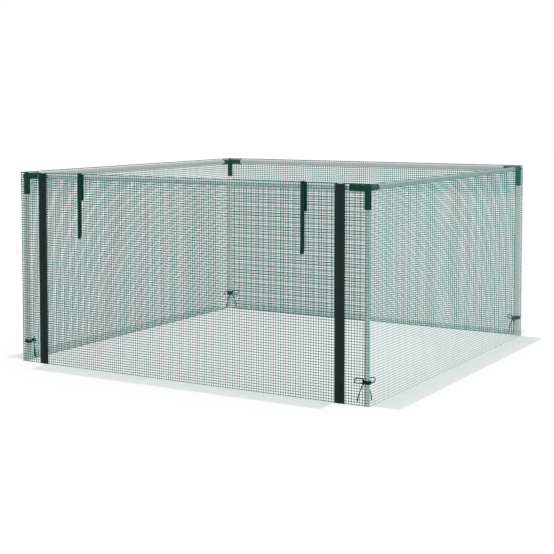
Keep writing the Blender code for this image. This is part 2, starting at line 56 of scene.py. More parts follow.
# %% Camera
CAMERA_PLACE = (2.0646, -3.5959, 0.8098)
CAMERA_YAW = math.radians(30.25)
CAMERA_PITCH = math.radians(3.5)
CAMERA_LENS = 80.7
CAMERA_SHIFT = -0.170


def placed(name, data):
    """Add an object that holds this data to the scene."""
    made = bpy.data.objects.new(name, data)
    bpy.context.scene.collection.objects.link(made)
    return made


camera = placed("camera", bpy.data.cameras.new("camera"))
camera.data.lens = CAMERA_LENS
camera.data.shift_y = CAMERA_SHIFT
camera.location = CAMERA_PLACE
camera.rotation_euler = (math.pi / 2 - CAMERA_PITCH, 0, CAMERA_YAW)
bpy.context.scene.camera = camera
print("camera", CAMERA_LENS, "mm, looking", round(math.degrees(CAMERA_YAW), 2), "degrees left of +Y")

# %% [markdown]
# ## Materials as expressions
#
# A material is a small graph of nodes, and so is the light of the world. Such a graph is hard to read link
# by link, so one class wraps a socket and lets it be added, multiplied and mixed like a number. Each sum
# then adds its own Math node, and every other kind of node comes from one method.

# %% A socket that can be used in sums
def feed(node, name, value):
    """Set one of a node's inputs to a value, or link an expression to it."""
    if isinstance(value, Wire):
        value.tree.links.new(value.socket, node.inputs[name])
    else:
        node.inputs[name].default_value = value


class Wire:
    """An output socket of a material's node tree. Arithmetic on it adds Math nodes."""

    def __init__(self, tree, socket):
        self.tree = tree
        self.socket = socket

    def node(self, kind, settings=None, inputs=None, out=0):
        """Add a node of this kind, set it up, fill or link its inputs and return one output."""
        made = self.tree.nodes.new("ShaderNode" + kind)
        for name, value in (settings or {}).items():
            setattr(made, name, value)
        for key, value in (inputs or {}).items():
            feed(made, key, value)
        return Wire(self.tree, made.outputs[out])

    def math(self, operation, first, second=0.0):
        """One sum of two values."""
        return self.node("Math", {"operation": operation}, {0: first, 1: second})

    def __add__(self, other):
        return self.math("ADD", self, other)

    __radd__ = __add__

    def __sub__(self, other):
        return self.math("SUBTRACT", self, other)

    def __rsub__(self, other):
        return self.math("SUBTRACT", other, self)

    def __mul__(self, other):
        return self.math("MULTIPLY", self, other)

    __rmul__ = __mul__

    def sine(self):
        return self.math("SINE", self)

    def size(self):
        """The value without its sign."""
        return self.math("ABSOLUTE", self)

    def larger(self, other):
        return self.math("MAXIMUM", self, other)

    def smaller(self, other):
        return self.math("MINIMUM", self, other)

    def axis(self, index):
        """One coordinate of a vector."""
        return self.node("SeparateXYZ", inputs={0: self}, out=index)

    def ramp(self, start, end):
        """0 up to start, 1 from end on, and even between them."""
        return self.node("MapRange", inputs={"Value": self, "From Min": start, "From Max": end})

    def axes(self):
        """All three coordinates of a vector."""
        return [self.axis(index) for index in range(3)]

    def noise(self, scale, detail=2.0):
        """Even noise from 0 to 1, read at this point."""
        return self.node("TexNoise", inputs={"Vector": self, "Scale": scale, "Detail": detail})

    def mix(self, first, second):
        """A colour between two, this value being the share of the second."""
        inputs = {0: self, 6: first, 7: second}
        return self.node("Mix", {"data_type": "RGBA"}, inputs, out=2)

    def bump(self, strength, distance):
        """A normal that is tilted as if this value were a height."""
        return self.node("Bump", inputs={"Height": self, "Strength": strength, "Distance": distance})


# %% [markdown]
# Every finish starts from the same shader, which can be paint, plastic or fibre by its numbers. It is kept
# under its name until its pieces are made.

# %% A new finish
FINISH = {}


def new_finish(name, roughness, specular):
    """Keep a new material under its name, and give its shader and the piece's own coordinates and map."""
    FINISH[name] = bpy.data.materials.new(name)
    FINISH[name].use_nodes = True
    tree = FINISH[name].node_tree
    shader = tree.nodes["Principled BSDF"]
    feed(shader, "Roughness", roughness)
    feed(shader, "Specular IOR Level", specular)
    place = tree.nodes.new("ShaderNodeTexCoord")
    return shader, Wire(tree, place.outputs["Object"]), Wire(tree, place.outputs["UV"])


# %% [markdown]
# ## Floor
#
# A product picture has a white floor that runs into a white backdrop. The floor here is a plain diffuse
# plane with a glow of its own, like a light table. Open floor reaches white, the cage's soft shadow stays,
# and the undersides of the rails are as light as their tops.

# %% Floor
FLOOR_SIZE = 40.0
FLOOR_COLOUR = (0.35, 0.35, 0.35, 1)
FLOOR_OWN_LIGHT = 0.69

bpy.ops.mesh.primitive_plane_add(size=FLOOR_SIZE)
floor = bpy.context.object
floor.name = "floor"
shader, *_ = new_finish("floor_white", 0.9, 0.0)
feed(shader, "Base Color", FLOOR_COLOUR)
feed(shader, "Emission Color", (1, 1, 1, 1))
feed(shader, "Emission Strength", FLOOR_OWN_LIGHT)
floor.data.materials.append(FINISH["floor_white"])
print("the floor is", FLOOR_SIZE, "m wide")

# %% [markdown]
# ## Light
#
# An even white sky lights every side. It is full white where a ray from the camera meets it, straight or
# through or off something shiny, and softer where it lights the cage. One wide lamp from the front right, as
# far away as the sun, gives the tubes a light side and a shaded side.

# %% World and lamp
WORLD_LIGHT = 0.80
LAMP_STRENGTH = 0.75
LAMP_ANGLE = math.radians(70)
LAMP_TURN = (math.radians(42), 0, math.radians(48))

world = bpy.data.worlds.new("studio")
bpy.context.scene.world = world
world.use_nodes = True
rays = world.node_tree.nodes.new("ShaderNodeLightPath").outputs
straight, shiny, through = (
    Wire(world.node_tree, rays[f"Is {kind} Ray"]) for kind in ("Camera", "Glossy", "Transmission")
)
seen = straight.larger(shiny).larger(through)
sky = world.node_tree.nodes["Background"]
feed(sky, "Color", (1, 1, 1, 1))
feed(sky, "Strength", seen.node("MapRange", inputs={"Value": seen, "To Min": WORLD_LIGHT, "To Max": 1.0}))
lamp = placed("lamp", bpy.data.lights.new("lamp", "SUN"))
lamp.data.energy = LAMP_STRENGTH
lamp.data.angle = LAMP_ANGLE
lamp.rotation_euler = LAMP_TURN
bpy.context.scene.view_settings.view_transform = "Standard"
print("the sky lights the cage at", WORLD_LIGHT, "and the lamp adds", LAMP_STRENGTH)

# %% [markdown]
# ## Sizes shared with the solids
#
# The net, the zips and the cords have to lie where the solids lie, so the sizes that place them are
# written here once. They are the same lengths as in the part, in metres.

# %% Sizes
HALF = 0.600  # from the middle of the cage to a leg's axis
TUBE_RADIUS = 0.008
TUBE_WALL = 0.001
RAIL_Z = 0.592
SOCKET_FLOOR = 0.0115
GAP = 0.0003
NET_OFFSET = 0.01275  # from a tube's axis to the middle of the net
NET_THICKNESS = 0.0016
NET_TOP = 0.6045
NET_FACE = NET_OFFSET + NET_THICKNESS / 2
ZIP_X = 0.5235
NET_TO_ZIP = 0.008
FRONT_Y = -(HALF + NET_OFFSET)
SKIRT_WIDTH = 0.085
CORNERS = {"front_left": 0, "front_right": 1, "back_right": 2, "back_left": 3}


def corner_place(quarter):
    """The leg's place in plan after so many quarter turns from the front left."""
    return np.array([(-HALF, -HALF), (HALF, -HALF), (HALF, HALF), (-HALF, HALF)][quarter])


print("the leg axes are", 2 * HALF, "m apart")

# %% [markdown]
# ## Paint and plastic, with painted light and shade
#
# The tubes have a powder coat: an even colour that clouds a little, with a fine orange-peel surface. The
# corners are moulded plastic with a soft grain. Real ones have a single tone each. The picture's layers of
# net don't darken one another as real ones would, so here light and shade are painted into the tones from
# place to place: painted light makes the legs and the near rails paler, and painted shade makes the corners
# darker in front.

# %% Paint and plastic
FINE_GRAIN = 0.0003  # how deep the bumps of a surface are
PAINTED_LIGHT_RAILS_OUT = (0.57, 0.58)  # how far out the painted light of the front and right rails begins
PAINTED_LIGHT_LEGS_TOP = (0.57, 0.583)  # the heights between which the legs' painted light turns into the rails' tones
PAINTED_SHADE_HALFWAY = 0.1  # from the middle of the cage, where the corners' tone turns from the painted shade in front to the plain tone behind


def tube_paint():
    """Powder coat: slow clouds in the colour, fine peel, and painted light that makes the legs and the near
    rails paler.
    """
    shader, place, _ = new_finish("tube_paint", 0.6, 0.08)
    clouds = place.noise(9.0, 3.0)
    # Painted light: the back and left rails keep the plain tone, while the right rail, the front rail and the
    # legs get paler, lit copies of it.
    rail = clouds.mix((0.395, 0.450, 0.438, 1), (0.435, 0.490, 0.478, 1))
    right = clouds.mix((0.470, 0.510, 0.500, 1), (0.510, 0.550, 0.540, 1))
    front = clouds.mix((0.685, 0.740, 0.725, 1), (0.735, 0.790, 0.775, 1))
    leg = clouds.mix((0.690, 0.695, 0.682, 1), (0.750, 0.755, 0.742, 1))
    x, y, z = place.axes()
    rails_with_painted_light = (y * -1.0).ramp(*PAINTED_LIGHT_RAILS_OUT).mix(x.ramp(*PAINTED_LIGHT_RAILS_OUT).mix(rail, right), front)
    feed(shader, "Base Color", z.ramp(*PAINTED_LIGHT_LEGS_TOP).mix(leg, rails_with_painted_light))
    feed(shader, "Roughness", place.noise(40.0) * 0.16 + 0.52)
    feed(shader, "Normal", place.noise(900.0, 1.0).bump(0.12, FINE_GRAIN))


def corner_plastic():
    """Moulded plastic: a slight grain, paler where the melt flowed, and painted shade that makes the front
    corners darker than the back ones.
    """
    shader, place, _ = new_finish("corner_plastic", 0.5, 0.12)
    flow = place.noise(60.0, 3.0)
    # Painted shade: the front corners get a darker copy of the back corners' colour.
    front = flow.mix((0.008, 0.026, 0.016, 1), (0.014, 0.040, 0.027, 1))
    back = flow.mix((0.010, 0.056, 0.040, 1), (0.017, 0.080, 0.058, 1))
    feed(shader, "Base Color", place.axis(1).ramp(-PAINTED_SHADE_HALFWAY, PAINTED_SHADE_HALFWAY).mix(front, back))
    feed(shader, "Roughness", place.noise(160.0) * 0.14 + 0.36)
    feed(shader, "Normal", place.noise(1400.0, 1.0).bump(0.15, 0.0002))


tube_paint()
corner_plastic()
print("finishes so far:", *FINISH)

# %% [markdown]
# ## Yarn, with painted light and shade
#
# The net and the skirts are knitted from one yarn each, whose colour wanders a little. For the same reason as
# on the tubes, light and shade are painted into the yarn in some places: painted light on the right wall, in
# a band under the back and left rails and on the back and left skirts, and painted shade over the front
# corners, the straps' inner tails and the ties. A function for each place says how far inside it a point
# lies, and the share of the painted tone follows from that.

# %% Yarn
CORNER_SHADE_X = (0.542, 0.579)  # where the net begins to lie over a front corner's rail arm and leg arm
CORNER_SHADE_Z = (0.581, 0.533)
TAIL_SHADE_X = (-0.3705, 0.4125)  # the middles of the straps' inner tails
TAIL_SHADE_HALF = 0.0072
TAIL_SHADE_Z = 0.522
PAINTED_LIGHT_BAND_Z = (0.495, 0.588)  # between these heights painted light makes the back and left walls' yarn lighter and greener
TIE_SHADE_OUT = 0.586  # where a net begins to lie over a tie's turns, along X and along Y
TIE_SHADE_Z = (0.0665, 0.0085)  # the middle of that stretch, and half its height


def yarn(name, dark, light, tints=()):
    """Knitted yarn, whose colour wanders along the threads.

    A tint is a function that measures a point, the measures at which it begins and is full, and its colour.
    """
    shader, place, _ = new_finish(name, 0.85, 0.05)
    colour = place.noise(14.0, 4.0).mix(dark, light)
    for reach, start, end, tint in tints:
        colour = reach(place).ramp(start, end).mix(colour, tint)
    feed(shader, "Base Color", colour)
    feed(shader, "Normal", place.noise(1800.0, 2.0).bump(0.4, FINE_GRAIN))


def outwards(place):
    """How far out a point lies: the larger of its distances along X and Y."""
    x, y, _ = place.axes()
    return x.size().larger(y.size())


def to_the_right(place):
    """How far a point lies along +X."""
    return place.axis(0)


def to_the_back_left(place):
    """How far a point lies behind the cage's middle, or to the left of it."""
    x, y, _ = place.axes()
    return y.larger(x * -1.0)


def over_a_front_corner(place):
    """How far inside a front corner's two arms a point of the front net lies, as seen from the front."""
    x, y, z = place.axes()
    rail_arm, leg_arm = (
        (x.size() - out).smaller(z - height) for out, height in zip(CORNER_SHADE_X, CORNER_SHADE_Z)
    )
    return rail_arm.larger(leg_arm).smaller(-HALF - y)


def over_an_inner_tail(place):
    """How far inside the outline of a strap's inner tail a point of the front net lies."""
    x, y, z = place.axes()
    left, right = (TAIL_SHADE_HALF - (x - middle).size() for middle in TAIL_SHADE_X)
    return right.larger(left).smaller(z - TAIL_SHADE_Z).smaller(-HALF - y)


def over_a_tie(place):
    """How far inside the outline of a tie's turns round its leg a point of a net lies."""
    x, y, z = place.axes()
    middle, half = TIE_SHADE_Z
    return (x.size().smaller(y.size()) - TIE_SHADE_OUT).smaller(half - (z - middle).size())


def up_the_back_left(place):
    """How far inside the band along the top of the back and left walls a point lies."""
    out, z = to_the_back_left(place) - HALF, place.axis(2)
    return out.smaller(z - PAINTED_LIGHT_BAND_Z[0]).smaller(PAINTED_LIGHT_BAND_Z[1] - z)


# Painted light: the right wall's yarn and the band under the back and left rails are paler. Painted shade:
# the yarn is darker over the front corners, the straps' inner tails and the ties.
yarn("net_thread", (0.003, 0.115, 0.092, 1), (0.009, 0.145, 0.118, 1), [
    (to_the_right, 0.606, 0.609, (0.035, 0.265, 0.225, 1)),
    (up_the_back_left, 0.0, 0.010, (0.008, 0.190, 0.165, 1)),
    (over_a_front_corner, 0.0, 0.002, (0.004, 0.074, 0.054, 1)),
    (over_an_inner_tail, 0.0, 0.001, (0.003, 0.045, 0.034, 1)),
    (over_a_tie, 0.0, 0.001, (0.003, 0.040, 0.030, 1)),
])
yarn("skirt_thread", (0.700, 0.790, 0.765, 1), (0.780, 0.850, 0.830, 1), [
    (outwards, 0.625, 0.690, (0.790, 0.815, 0.808, 1)),
    # painted light makes the back and left flaps paler
    (to_the_back_left, 0.603, 0.612, (0.870, 0.878, 0.874, 1)),
])
print("finishes so far:", *FINISH)

# %% [markdown]
# ## Weave, braid and lacquer
#
# The zips' tape, the straps' webbing and the cords are dark green fibres that differ in weave, so each gets
# a pattern at its own scale. The patterns follow a map in metres, which runs along and across each piece.

# %% Weave, braid and lacquer
def woven(name, dark, light, across_pitch, along_pitch, strength):
    """A plain weave: warp ribs across the width, crossed by the weft, from two sine waves."""
    shader, _, chart = new_finish(name, 0.85, 0.06)
    ribs = (chart.axis(0) * (math.tau / across_pitch)).sine()
    picks = (chart.axis(1) * (math.tau / along_pitch)).sine()
    weave = ribs.size() * 0.6 + (ribs * picks) * 0.4
    shade = weave * 0.7 + chart.noise(700.0, 2.0) * 0.3
    feed(shader, "Base Color", shade.mix(dark, light))
    feed(shader, "Normal", weave.bump(strength, FINE_GRAIN))


def braided(name, dark, light, pitch):
    """A round braid: two sets of strands that cross as they wind round the cord."""
    shader, _, chart = new_finish(name, 0.85, 0.04)
    round_ = chart.axis(0) * math.tau
    along = chart.axis(1) * (math.tau / pitch)
    left = (along + round_ * 3.0).sine()
    right = (along - round_ * 3.0).sine()
    braid = left.larger(right)
    feed(shader, "Base Color", (braid * 0.5 + 0.5).mix(dark, light))
    feed(shader, "Normal", braid.bump(0.5, FINE_GRAIN))


def lacquer():
    """Dark lacquer on a die-cast slider, with a faint grain."""
    shader, place, _ = new_finish("zip_metal", 0.5, 0.12)
    feed(shader, "Base Color", place.noise(300.0).mix((0.005, 0.012, 0.010, 1), (0.012, 0.024, 0.020, 1)))
    feed(shader, "Roughness", place.noise(500.0) * 0.2 + 0.4)


woven("zip_tape", (0.010, 0.020, 0.018, 1), (0.022, 0.042, 0.038, 1), 0.0011, 0.0014, 0.5)
lacquer()
woven("webbing", (0.006, 0.024, 0.017, 1), (0.014, 0.050, 0.037, 1), 0.0016, 0.0012, 0.6)
braided("tie_cord", (0.002, 0.010, 0.007, 1), (0.006, 0.028, 0.020, 1), 0.0030)
print(len(FINISH) - 1, "finishes and the floor's")

# %% [markdown]
# ## Surfaces from arrays
#
# Most pieces are a profile carried along a path. The profile is a list of points across the path, and at
# each station of the path two unit vectors say which way the profile's own axes point. The product of the
# two arrays gives every corner of the surface at once, and the faces are the cells of that grid.

# %% Grids
def joined(*values):
    """A row of values per point or face. Each value is an array, or one number for all rows."""
    return np.stack(np.broadcast_arrays(*values), axis=-1)


def grid_faces(rows, columns, wrap_rows=False):
    """Quads between neighbouring stations and profile points. The profile always closes on itself."""
    row = np.arange(rows if wrap_rows else rows - 1)[:, None]
    column = np.arange(columns)[None, :]
    below, above = row * columns, (row + 1) % rows * columns
    beside = (column + 1) % columns
    return joined(below + column, below + beside, above + beside, above + column).reshape(-1, 4)


def carried(profile, origins, across, up):
    """Each corner is its station's origin + the profile's x times across + its y times up.

    The last three hold a vector for each station, or one for all of them.
    """
    flat = np.asarray(profile, float)
    origins, across, up = (np.atleast_2d(part)[:, None] for part in (origins, across, up))
    return origins + flat[:, :1] * across + flat[:, 1:] * up


print("3 stations of 4 corners make", len(grid_faces(3, 4)), "faces")

# %% [markdown]
# A mesh is filled from flat arrays in one go, which is many times faster than adding faces one by one. Each
# piece then gets its finish, and rides on the body of the model that it moves with.

# %% Meshes
MERGE_DISTANCE = 1e-7


def put_mesh(name, blocks, slot, body, uv=(), smooth=True):
    """One mesh object from blocks of (corners, face arrays), riding on a body. uv maps its first corners."""
    corners, loops, starts, offset, used = [], [], [], 0, 0
    for points, face_sets in blocks:
        points = np.asarray(points, float).reshape(-1, 3)
        for faces in face_sets:
            loops.append((faces + offset).ravel())
            starts.append(used + np.arange(len(faces)) * faces.shape[1])
            used += faces.size
        corners.append(points)
        offset += len(points)
    corners, loops, starts = (np.concatenate(part) for part in (corners, loops, starts))
    mesh = bpy.data.meshes.new(name)
    mesh.vertices.add(len(corners))
    mesh.vertices.foreach_set("co", corners.ravel())
    mesh.loops.add(len(loops))
    mesh.loops.foreach_set("vertex_index", loops.astype(np.int32))
    mesh.polygons.add(len(starts))
    mesh.polygons.foreach_set("loop_start", starts.astype(np.int32))
    mesh.polygons.foreach_set("use_smooth", np.full(len(starts), smooth))
    mesh.update(calc_edges=True)
    if len(uv):
        chart = np.zeros((len(corners), 2))
        chart[:len(uv)] = uv
        mesh.uv_layers.new(name="chart").data.foreach_set("uv", chart[loops].ravel())
    mesh.validate()
    return dress(placed(name, mesh), slot, body)


def dress(piece, slot, body):
    """Give a piece its finish and let it ride on a body."""
    piece.data.materials.clear()
    piece.data.materials.append(FINISH[slot])
    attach(piece, body)
    return piece


def faces_out(piece):
    """Merge what touches and turn every face outwards."""
    shape = bmesh.new()
    shape.from_mesh(piece.data)
    bmesh.ops.remove_doubles(shape, verts=shape.verts, dist=MERGE_DISTANCE)
    bmesh.ops.recalc_face_normals(shape, faces=shape.faces)
    shape.to_mesh(piece.data)
    shape.free()
    return piece


def triangles(piece):
    """How many triangles the piece's faces make: each has two fewer than it has corners."""
    return len(piece.data.loops) - 2 * len(piece.data.polygons)


# %% [markdown]
# ## Tubes
#
# A leg is a thin steel tube, pushed up into its corner. It could be a plain cylinder, but its open foot
# shows from below, so the profile of its wall, with softened rims, is turned once round the axis. Rails
# are the same tube laid down between two corners.

# %% Legs and rails
TUBE_SIDES = 48
TUBE_CREASE = math.radians(40)  # edges sharper than this stay crisp
RIM = 0.0003


def ellipse(wide, tall, sides):
    """A profile of points at even angles: wide times the cosine, tall times the sine."""
    angle = np.arange(sides) * math.tau / sides
    return joined(wide * np.cos(angle), tall * np.sin(angle))


def wall_profile(length):
    """The section of a tube's wall as (distance from the axis, distance along it)."""
    outer, inner = TUBE_RADIUS, TUBE_RADIUS - TUBE_WALL
    return [
        (outer, RIM), (outer, length - RIM), (outer - RIM, length), (inner + RIM, length),
        (inner, length - RIM), (inner, RIM), (inner + RIM, 0), (outer - RIM, 0),
    ]


def turned(profile, base, axis, side, sides):
    """A closed profile turned round an axis: across is the spoke at each angle, up is the axis."""
    spokes = ellipse(1, 1, sides) @ np.array([side, np.cross(axis, side)])
    return carried(profile, base, spokes, axis), [grid_faces(sides, len(profile), wrap_rows=True)]


def add_tube(node, length, base, axis, side):
    """A tube of the cage's frame, in place of its node."""
    block = turned(wall_profile(length), base, axis, side, TUBE_SIDES)
    piece = faces_out(put_mesh(f"painted_{node}", [block], "tube_paint", "frame"))
    piece.data.set_sharp_from_angle(angle=TUBE_CREASE)
    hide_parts(node)


leg_length = RAIL_Z - SOCKET_FLOOR - GAP
rail_start = -HALF + SOCKET_FLOOR + GAP
for corner, quarter in CORNERS.items():
    x, y = corner_place(quarter)
    add_tube(f"leg_{corner}", leg_length, (x, y, 0), (0, 0, 1), (1, 0, 0))
rails = {
    "front": ((rail_start, -HALF, RAIL_Z), (1, 0, 0)), "back": ((rail_start, HALF, RAIL_Z), (1, 0, 0)),
    "left": ((-HALF, rail_start, RAIL_Z), (0, 1, 0)), "right": ((HALF, rail_start, RAIL_Z), (0, 1, 0)),
}
for where, (base, axis) in rails.items():
    add_tube(f"rail_{where}", -2 * rail_start, base, axis, (0, 0, 1))
print("tubes", round(leg_length, 4), "and", round(-2 * rail_start, 4), "m long")

# %% [markdown]
# ## Three-way corners
#
# One moulding serves all four corners: a ball with three sockets, each with a rolled bead at its mouth. A
# Boolean union of turned shapes is exact and keeps the crisp line where two sockets meet, and three more
# turned shapes cut the bores. The finished mesh is turned a quarter further for each corner.

# %% Turned solids
SOCKET_BORE = 0.0083
SOCKET_RADIUS = 0.0095
HUB_RADIUS = 0.01165
BEAD_RADIUS = 0.0100
BEAD_LENGTH = 0.0045
CORNER_SIDES = 48


def bead(reach):
    """The rolled bead at a socket's mouth, half an ellipse along the socket."""
    angle = np.linspace(0, math.pi, 9)
    middle, half = reach - BEAD_LENGTH / 2, BEAD_LENGTH / 2
    height = BEAD_RADIUS - SOCKET_RADIUS
    return [(SOCKET_RADIUS + height * math.sin(a), middle + half * math.cos(a)) for a in angle]


def turned_solid(profile, axis, side):
    """A profile whose ends lie on the axis, turned into a closed solid."""
    block = turned(profile, (0, 0, 0), axis, side, CORNER_SIDES)
    return faces_out(put_mesh("turned", [block], "corner_plastic", "frame"))


def combine(body, tool, operation):
    """Apply an exact Boolean and remove the tool."""
    boolean = body.modifiers.new(operation, "BOOLEAN")
    boolean.operation = operation
    boolean.solver = "EXACT"
    boolean.object = tool
    bpy.context.view_layer.update()
    result = bpy.data.meshes.new_from_object(body.evaluated_get(bpy.context.evaluated_depsgraph_get()))
    body.modifiers.clear()
    body.data = result
    bpy.data.objects.remove(tool, do_unlink=True)


print("a bead has", len(bead(BEAD_LENGTH)), "points round its half ellipse")

# %% [markdown]
# All three sockets are joined to the ball before the first bore is cut. The other way round, a later arm
# would fill part of an earlier bore.

# %% Corners
SOCKETS = (  # each socket's reach, its direction, and a direction across it
    (0.052, (1, 0, 0), (0, 0, 1)), (0.052, (0, 1, 0), (0, 0, 1)), (0.058, (0, 0, -1), (1, 0, 0)),
)
MOUTH_FLARE = 0.0007  # how far a bore widens at its mouth, and over what depth
CUTTER_EXCESS = 0.002
CORNER_CREASE = math.radians(35)


def about_z(turn):
    """The matrix of a turn about the upright axis."""
    c, s = math.cos(turn), math.sin(turn)
    return np.array([[c, -s, 0], [s, c, 0], [0, 0, 1]])


def make_corner():
    """The moulding at the origin, with sockets along +X, +Y and -Z."""
    half = np.linspace(0, math.pi, 17)
    ball = [(HUB_RADIUS * math.sin(a), HUB_RADIUS * math.cos(a)) for a in half]
    body = turned_solid(ball, (0, 0, 1), (1, 0, 0))
    for reach, axis, side in SOCKETS:
        outside = [(0, reach)] + bead(reach) + [(SOCKET_RADIUS, 0), (0, 0)]
        combine(body, turned_solid(outside, axis, side), "UNION")
    for reach, axis, side in SOCKETS:
        flare, past = SOCKET_BORE + MOUTH_FLARE, reach + CUTTER_EXCESS
        inside = [
            (0, past), (flare, past), (flare, reach), (SOCKET_BORE, reach - MOUTH_FLARE),
            (SOCKET_BORE, SOCKET_FLOOR), (0, SOCKET_FLOOR),
        ]
        combine(body, turned_solid(inside, axis, side), "DIFFERENCE")
    return body


pattern = make_corner()
for corner, quarter in CORNERS.items():
    piece = placed(f"moulded_corner_{corner}", pattern.data.copy())
    shape = np.empty(len(piece.data.vertices) * 3)
    piece.data.vertices.foreach_get("co", shape)
    spin = about_z(quarter * math.pi / 2)
    shape = shape.reshape(-1, 3) @ spin.T + np.array([*corner_place(quarter), RAIL_Z])
    piece.data.vertices.foreach_set("co", shape.ravel())
    dress(piece, "corner_plastic", "frame")
    piece.data.shade_smooth()
    piece.data.set_sharp_from_angle(angle=CORNER_CREASE)
    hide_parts(f"corner_{corner}")
print("each corner has", triangles(piece), "triangles")
bpy.data.objects.remove(pattern, do_unlink=True)

# %% [markdown]
# ## The net
#
# The cover is a knitted net with a square mesh of about 8 mm: upright pillars of chain stitches, crossed
# by inlaid yarns, with a small knot where they meet. A picture on a plane would look flat from close by,
# so every thread is real. A thread is a flat diamond in section and has a ring of corners every few
# meshes, because knitted net pulls a little out of line, and each knot is an eight-sided grain. The left
# and back walls have a selvedge at the top, where the crossing yarns run close together, and one more yarn
# at the foot. Their yarn is heavier in a band below the rail, the part that the picture shows through the
# open top. The whole panel is a few arrays, whatever its size.

# %% Where the threads lie
TOP_BAND = 0.114  # how far the band of heavier yarn reaches down from the top edge
RAIL_BAND = 0.0200  # how far down from the top edge the rail lies behind the net
RAIL_FADE = 0.0030  # over what height the yarn turns thin again there
NO_BAND = (1.0, 0.0)
WAVES = ((17.0, 4.1, 0.7, 1.0), (31.0, -9.7, 2.1, 0.7), (8.3, 23.0, 4.0, 0.5))
SWAY = (0.35, 0.30)  # how far threads sway along and up, as shares of their sway out of the panel
UNLIKE = (1.7, 0.6, 0.1)  # what keeps the three sways from being alike


def ripple(along, up, size, amount):
    """Slow waves over the panel, which die away at its edges.

    A sum of sines of the shares along and up, each with its two rates, its phase and its height.
    """
    a, b = along / size[0], up / size[1]
    fade = np.sin(math.pi * np.clip(a, 0, 1)) ** 0.5 * np.sin(math.pi * np.clip(b, 0, 1)) ** 0.5
    return amount * fade * sum(tall * np.sin(p * a + q * b + phase) for p, q, phase, tall in WAVES)


def net_points(panel, along, up, lift):
    """Places on a panel: its origin + along, up and out, each with its own slow ripple."""
    origin, *axes, (long, tall), wave = panel
    first, second, shift = UNLIKE
    along, up, lift = np.broadcast_arrays(along, up, lift)
    moved = (
        along + ripple(along, up, (long, tall), wave * SWAY[0]),
        up + ripple(up * first, along * second, (tall * first, long * second), wave * SWAY[1]),
        lift + ripple(along + shift, up, (long + 2 * shift, tall), wave),
    )
    return np.asarray(origin, float) + joined(*moved) @ np.array(axes, float)


def swelling(height, top, band):
    """How much wider the yarn is at a height.

    1 below the band, from there rising over rise to 1 + gain, and 1 again where the rail lies behind the net.
    """
    rise, gain = band
    below_rail = np.clip((top - RAIL_BAND - height) / RAIL_FADE, 0, 1)
    return 1 + gain * np.clip((height - top + TOP_BAND) / rise, 0, 1) * below_rail


print("the heaviest yarn is", swelling(0.55, 0.604, (0.02, 0.35)), "times as wide as the rest of its wall's")

# %% [markdown]
# All threads of one direction are one array: the places of a single thread plus each thread's own shift.

# %% Threads and knots
RING_EVERY = 0.030  # between two rings of a thread
# A knot's faces, by its points: two along, two up and two out.
GRAIN = np.array([
    (0, 2, 4), (2, 1, 4), (1, 3, 4), (3, 0, 4), (2, 0, 5), (1, 2, 5), (3, 1, 5), (0, 3, 5),
])


def end_faces(rows, columns):
    """The two faces that close a path: the first station's profile turned round, and the last station's."""
    return np.array([np.arange(columns)[::-1], (rows - 1) * columns + np.arange(columns)])


def copied(faces, corners, count):
    """A shape's faces once for each of its copies, whose corners follow one another in the mesh."""
    start = (np.arange(count) * corners)[:, None, None]
    return (faces[None] + start).reshape(-1, faces.shape[1])


def threads(panel, stations, length, wide, thick, upright, band=NO_BAND):
    """A row of threads side by side: every thread has its rings, and a ring is a flat diamond."""
    rings = np.linspace(0, length, max(3, round(length / RING_EVERY) + 1))
    side = np.array([wide / 2, 0, -wide / 2, 0])
    lift = np.array([0, thick / 2, 0, -thick / 2])
    height = rings[None, :, None] if upright else stations[:, None, None]
    place = stations[:, None, None] + side * swelling(height, panel[4][1], band)
    run = rings[None, :, None]
    points = net_points(panel, *((place, run) if upright else (run, place)), lift)
    shape = len(rings), len(side)
    faces = copied(np.concatenate([grid_faces(*shape), end_faces(*shape)]), math.prod(shape), len(stations))
    return points, [faces if upright else faces[:, ::-1]]


def knots(panel, columns, rows, wide, tall, thick, band=NO_BAND):
    """A grain at every crossing, with two points along, two up and two out, its sizes apart."""
    along = np.array([wide, -wide, 0, 0, 0, 0]) / 2
    up = np.array([0, 0, tall, -tall, 0, 0]) / 2
    out = np.array([0, 0, 0, 0, thick, -thick]) / 2
    swell = swelling(rows[None, :, None], panel[4][1], band)
    place, height = columns[:, None, None] + along * swell, rows[None, :, None] + up * swell
    return net_points(panel, place, height, out), [copied(GRAIN, len(along), len(columns) * len(rows))]


# %% [markdown]
# A panel is its upright threads, its crossing threads and its knots. It measures how much it covers, and
# gives that area back.

# %% A whole panel
EDGE_SHARE = 0.25  # where the first thread lies, as a share of a mesh
KNOT_SIZE = (1.30, 1.7, 1.5)  # a knot's width, height and thickness, as shares of its threads'
SELVEDGE = (2, 0.0018, 0.0009)  # extra yarns along a bound top edge, their pitch and their width


def spread(length, pitch, margin):
    """Even places from margin to length - margin, as near to the pitch as fits."""
    count = max(2, round((length - 2 * margin) / pitch) + 1)
    return np.linspace(margin, length - margin, count)


